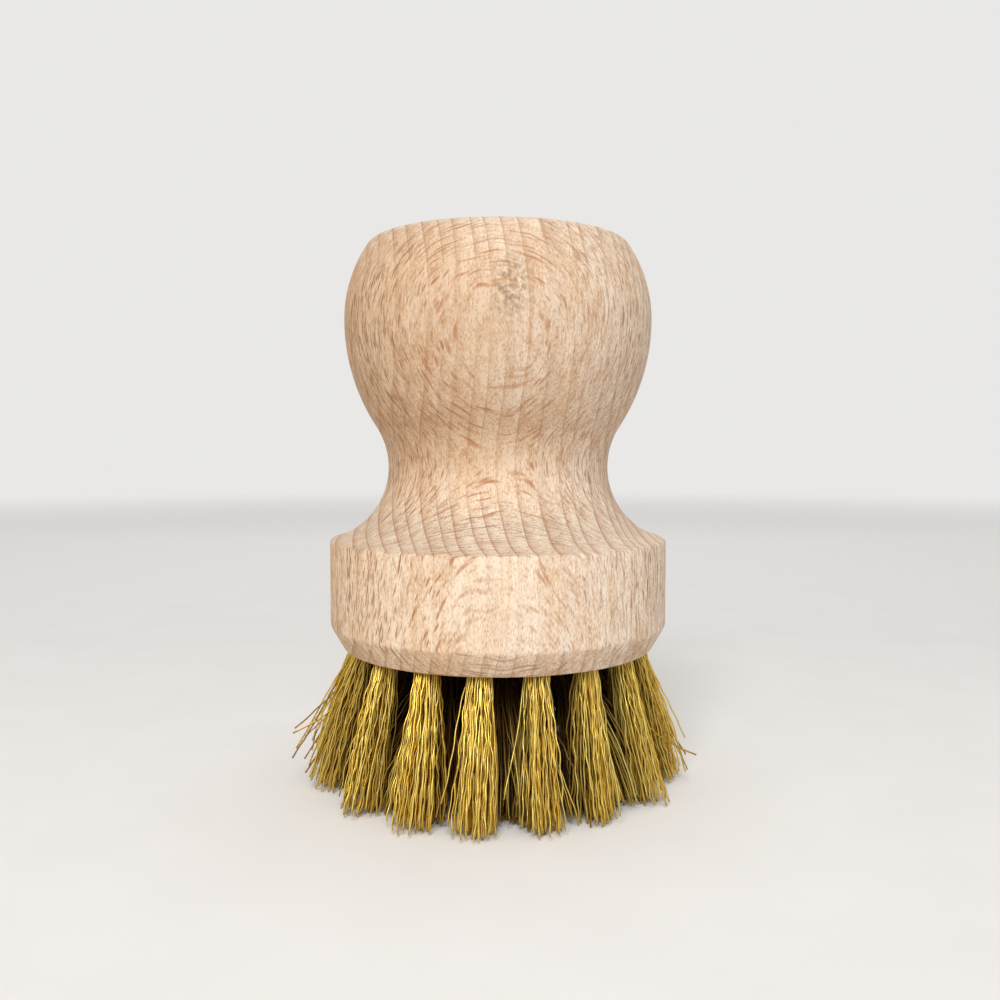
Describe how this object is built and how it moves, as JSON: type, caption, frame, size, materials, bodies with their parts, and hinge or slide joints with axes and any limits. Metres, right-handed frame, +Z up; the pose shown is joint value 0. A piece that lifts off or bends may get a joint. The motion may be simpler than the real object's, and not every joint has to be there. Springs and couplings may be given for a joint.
{
  "type": "grill brush",
  "caption": "Palm-held grill brush: a turned beech knob with a flared round base, set with leaning rings of crimped brass wire tufts for scrubbing grates.",
  "frame": {"origin": "centre of the circle on which the bristle tips stand, at the height of the tips", "axes": "+Z up the turning axis of the handle, -Y the front, +X to the right as seen from the front"},
  "size_m": [0.0569, 0.0571, 0.0788],
  "materials": {
    "handle": "turned and sanded beech, bare",
    "bristles": "drawn and crimped wire, bright",
    "anchors": "flat wire, zinc coated"
  },
  "bodies": {
    "root": {"turned_handle": "handle", "tuft_outer_01": "bristles", "tuft_outer_02": "bristles", "tuft_outer_03": "bristles", "tuft_outer_04": "bristles", "tuft_outer_05": "bristles", "tuft_outer_06": "bristles", "tuft_outer_07": "bristles", "tuft_outer_08": "bristles", "tuft_outer_09": "bristles", "tuft_outer_10": "bristles", "tuft_outer_11": "bristles", "tuft_outer_12": "bristles", "tuft_outer_13": "bristles", "tuft_outer_14": "bristles", "tuft_outer_15": "bristles", "tuft_outer_16": "bristles", "tuft_outer_17": "bristles", "tuft_middle_01": "bristles", "tuft_middle_02": "bristles", "tuft_middle_03": "bristles", "tuft_middle_04": "bristles", "tuft_middle_05": "bristles", "tuft_middle_06": "bristles", "tuft_middle_07": "bristles", "tuft_middle_08": "bristles", "tuft_middle_09": "bristles", "tuft_inner_01": "bristles", "tuft_inner_02": "bristles", "tuft_inner_03": "bristles", "anchor_outer_01": "anchors", "anchor_outer_02": "anchors", "anchor_outer_03": "anchors", "anchor_outer_04": "anchors", "anchor_outer_05": "anchors", "anchor_outer_06": "anchors", "anchor_outer_07": "anchors", "anchor_outer_08": "anchors", "anchor_outer_09": "anchors", "anchor_outer_10": "anchors", "anchor_outer_11": "anchors", "anchor_outer_12": "anchors", "anchor_outer_13": "anchors", "anchor_outer_14": "anchors", "anchor_outer_15": "anchors", "anchor_outer_16": "anchors", "anchor_outer_17": "anchors", "anchor_middle_01": "anchors", "anchor_middle_02": "anchors", "anchor_middle_03": "anchors", "anchor_middle_04": "anchors", "anchor_middle_05": "anchors", "anchor_middle_06": "anchors", "anchor_middle_07": "anchors", "anchor_middle_08": "anchors", "anchor_middle_09": "anchors", "anchor_inner_01": "anchors", "anchor_inner_02": "anchors", "anchor_inner_03": "anchors"}
  },
  "joints": []
}
